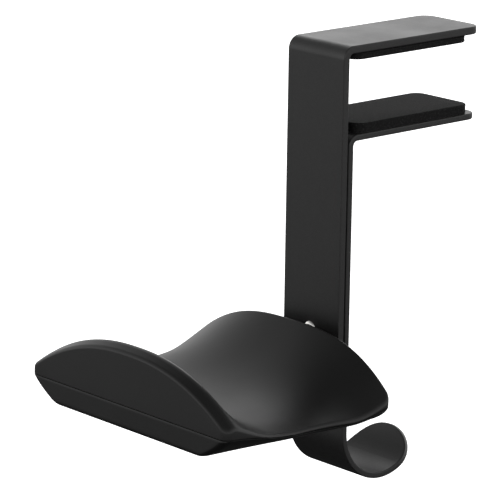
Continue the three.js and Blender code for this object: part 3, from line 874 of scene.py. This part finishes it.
def soft_lower(first, second, roll):
    """The lower of two heights, rounded where they cross."""
    near = max(roll - abs(first - second), 0) / roll
    return min(first, second) - near * near * roll / 4


def seam_line(along):
    """The seam's height: low in the middle, rising to the back and to the front."""
    rear = 1 - eased_rise(along, 0, SEAM_REAR_RUN)
    front = eased_rise(along, CRADLE_DEPTH - SEAM_FRONT_RUN, CRADLE_DEPTH)
    return SEAM_LOW + (SEAM_END - SEAM_LOW) * (rear + front)


def top_height(x, along):
    """The top's height, crowned across its width between the crest and the rims."""
    middle = trough_line(CREST, along)
    side = seam_line(along) + trough_line(RIM, along)
    power = CROWN_REAR_POWER + (CROWN_FRONT_POWER - CROWN_REAR_POWER) * along / CRADLE_DEPTH
    return side + (middle - side) * (1 - abs(x / RIM_HALF) ** power)


def plan_lattice(half, waist, front, back, inset, columns=64, rows=72, corner_steps=8):
    """Rows of (x, along) over the cradle's plan from its front to its back, drawn in at the waist."""
    reach = PLAN_CORNER - inset
    found = []
    for a in arc(0, math.pi / 2, corner_steps):
        found.append((half - PLAN_CORNER + reach * math.sin(a),
                      front - PLAN_CORNER + reach * math.cos(a)))
    for share in arc(0, 1, rows)[1:-1]:
        drawn_in = waist * math.sin(math.pi * share) ** 2
        found.append((half - drawn_in - inset,
                      front - PLAN_CORNER + (back - front + 2 * PLAN_CORNER) * share))
    for a in arc(0, math.pi / 2, corner_steps):
        found.append((half - PLAN_CORNER + reach * math.cos(a),
                      back + PLAN_CORNER - reach * math.sin(a)))
    return [[(w * (-1 + 2 * c / columns), along) for c in range(columns + 1)] for w, along in found]


def rim_lattice(inset):
    """The plan at the seam and above it."""
    return plan_lattice(RIM_HALF, WAIST, CRADLE_DEPTH + FRONT_OVERHANG, HUMP_SETBACK, inset)


def floor_lattice(inset):
    """The plan at the foot."""
    return plan_lattice(FLOOR_HALF, 0, CRADLE_DEPTH, 0, inset)


def in_cradle(x, along, up):
    """A place in the cradle, in the frame's own coordinates."""
    place = cradle_place(along, up)
    return drawing_origin + Vector((x, place.x, place.y))


def raised(lattice, height):
    """A plan lattice's points at the heights that a function of the plan gives."""
    return [[in_cradle(x, along, height(x, along)) for x, along in row] for row in lattice]


def cradle_shell(materials):
    """The top shell: its saddle-shaped skin rolls over a soft edge into straight walls above the seam."""
    least_height = 0.05 * MM

    def seam(x, along):
        return seam_line(along) + SEAM_GAP

    def above_seam(drop, least):
        """The top lowered by drop, but no nearer to the seam than least."""
        return lambda x, along: max(top_height(x, along) - drop, seam(x, along) + least)

    inside = raised(rim_lattice(SHELL_WALL), above_seam(SHELL_WALL, least_height))
    walls = [
        raised(rim_lattice(SHELL_WALL), seam),
        raised(rim_lattice(SEAM_EASE), seam),
        raised(rim_lattice(0), lambda x, along: seam(x, along) + SEAM_EASE),
    ]
    for a in arc(0, math.pi / 2, 7)[:-1]:
        inset = SHELL_EDGE * (1 - math.cos(a))
        walls.append(raised(rim_lattice(inset), above_seam(SHELL_EDGE * (1 - math.sin(a)), SEAM_EASE)))
    outside = raised(rim_lattice(SHELL_EDGE), top_height)
    shell = lattice_solid("cradle_shell", inside, walls, outside)
    return finish_piece(shell, "frame", "soft_touch", materials, "cradle_top")


def cradle_tray(materials):
    """The tray under the shell, with flared sides, a doorway for the arm and four screw wells."""
    rim = rim_lattice(0)
    foot = floor_lattice(0)
    edge_share = 0.2

    def wall_place(share):
        """A lattice between the foot and the rim, its sides bowed out a little."""
        bow = 1 + TRAY_BULGE / FLOOR_HALF * 4 * share * (1 - share)
        return [[in_cradle((fx + (rx - fx) * share) * bow, fa + (ra - fa) * share,
                           (seam_line(ra) - SEAM_EASE) * share)
                 for (fx, fa), (rx, ra) in zip(foot_row, rim_row)]
                for foot_row, rim_row in zip(foot, rim)]

    start = raised(floor_lattice(TRAY_EDGE), lambda x, along: 0)
    corner, end = wall_place(0), wall_place(edge_share)
    rounding = []
    for share in arc(0, 1, 6)[1:]:
        rounding.append([[p * (1 - share) ** 2 + q * 2 * share * (1 - share) + r * share ** 2
                          for p, q, r in zip(*rows)] for rows in zip(start, corner, end)])
    flare = [wall_place(share) for share in arc(edge_share, 1, 8)[1:]]
    lip = [raised(rim_lattice(SEAM_EASE), lambda x, along: seam_line(along)),
           raised(rim_lattice(TRAY_WALL), lambda x, along: seam_line(along))]
    inside = raised(floor_lattice(TRAY_WALL), lambda x, along: TRAY_FLOOR)
    tray = lattice_solid("cradle_tray_moulded", start, [*rounding, *flare, *lip], inside)
    tidy_mesh(tray)
    cut(tray, doorway_cutter())
    for node in TRAY_SCREWS:
        cut(tray, screw_well_cutter(node))
    return finish_piece(tray, "frame", "soft_touch", materials, "cradle_tray")


def doorway_cutter():
    """A rounded opening in the tray's back wall, with clearance round the arm."""
    outside, inside = -4 * MM, 5 * MM
    side = BAR_WIDTH / 2 + DOOR_GAP - DOOR_CORNER
    bottom = ARM_BOTTOM - DOOR_GAP + DOOR_CORNER
    top = ARM_BOTTOM + FRONT_THICKNESS + DOOR_GAP - DOOR_CORNER
    outline = []
    for quarter, (cx, cz) in enumerate([(side, bottom), (side, top), (-side, top), (-side, bottom)]):
        outline += [(cx + DOOR_CORNER * math.cos(a), cz + DOOR_CORNER * math.sin(a))
                    for a in arc((quarter - 1) * math.pi / 2, quarter * math.pi / 2, 5)]
    rings = [[in_cradle(x, along, up) for x, up in outline] for along in (outside, inside)]
    return new_object("cutter", *rings_to_mesh(rings))


def screw_axis(node):
    """The screw's centre line: a point level with the cradle's foot, and the direction upwards."""
    low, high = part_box(node)
    up = Vector((0, math.sin(CRADLE_LEAN), math.cos(CRADLE_LEAN)))
    middle = (low + high) / 2
    foot = in_cradle(middle.x, 0, 0)
    return middle - up * (middle - foot).dot(up), up


def screw_well_cutter(node):
    """A well for a screw's head with a chamfered mouth, and a hole for its shank."""
    foot, up = screw_axis(node)
    well, hole, seat, mouth = 2.7 * MM, 1.2 * MM, 0.6 * MM, 0.3 * MM
    start, end = -1 * MM, 3 * MM
    profile = [(0, start), (well + mouth, start), (well + mouth, 0), (well, mouth), (well, seat),
               (hole, seat), (hole, end), (0, end)]
    return turned("cutter", profile, foot, up, 40)


def tray_screw(node, materials):
    """A pan-head screw with a cross recess, driven upwards."""
    foot, up = screw_axis(node)
    head, shank, top_of_head, length, tip = 2.4 * MM, 1 * MM, 1.1 * MM, 9 * MM, 0.3 * MM
    band, dome_height = 0.5 * MM, 0.6 * MM
    dome = [(head * math.sin(a), top_of_head - band - dome_height * math.cos(a))
            for a in arc(0, math.pi / 2, 8)]
    profile = dome + [(head, top_of_head), (shank, top_of_head), (shank, length), (0, length + tip)]
    screw = turned(node + "_driven", profile, foot, up, 40)
    tidy_mesh(screw)
    for turn in (0, 90):
        blade = new_object("cutter", *rings_to_mesh(cross_blade(foot, up, turn)))
        cut(screw, blade)
    return finish_piece(screw, "frame", "zinc_steel", materials, node)


def cross_blade(foot, up, turn):
    """A tapering blade of the driver's cross."""
    across = Matrix.Rotation(math.radians(turn), 3, up) @ Vector((1, 0, 0))
    other = up.cross(across)
    rings = []
    for height, reach, thick in ((-0.5 * MM, 1.5 * MM, 0.32 * MM), (0.85 * MM, 0.6 * MM, 0.2 * MM)):
        rings.append([foot + up * height + across * reach * i + other * thick * j
                      for i, j in ((-1, -1), (1, -1), (1, 1), (-1, 1))])
    return rings


# ---- Assembly ----

def dress_kept_nodes(materials):
    """CAD nodes that no piece replaces keep their shape and get their material."""
    for entry in frame["record"]["subparts"]:
        node = frame["nodes"][entry["node"]]
        if not node.hide_render:
            node.data.materials.clear()
            node.data.materials.append(materials[entry["material_slot"]])


def build():
    """Makes every visible piece."""
    materials = make_materials()
    front_bracket(materials)
    slide_bracket(materials)
    for place in ("upper", "lower"):
        guide_rivet(place, materials)
        nylon_ring(f"gap_washer_{place}", 0.08 * MM, materials)
        nylon_ring(f"guide_bush_{place}", 0.12 * MM, materials)
    keeper_plate(materials)
    for side in ("left", "right"):
        spring_post(f"spring_post_upper_{side}", "frame", materials)
        spring_post(f"spring_post_lower_{side}", "slider", materials)
        tension_spring(side, materials)
    foam_pad("upper_jaw_pad", "frame", -1, materials)
    foam_pad("lower_jaw_pad", "slider", 1, materials)
    cradle_shell(materials)
    cradle_tray(materials)
    for node in TRAY_SCREWS:
        tray_screw(node, materials)
    dress_kept_nodes(materials)


set_camera()
set_world()
bpy.context.scene.view_settings.view_transform = "Standard"
add_floor()
add_softbox("jaw_light", place=(-0.2, 0.19, 0.13), target=(0, 0, 0), width=0.26, height=0.1, power=0.14)
build()
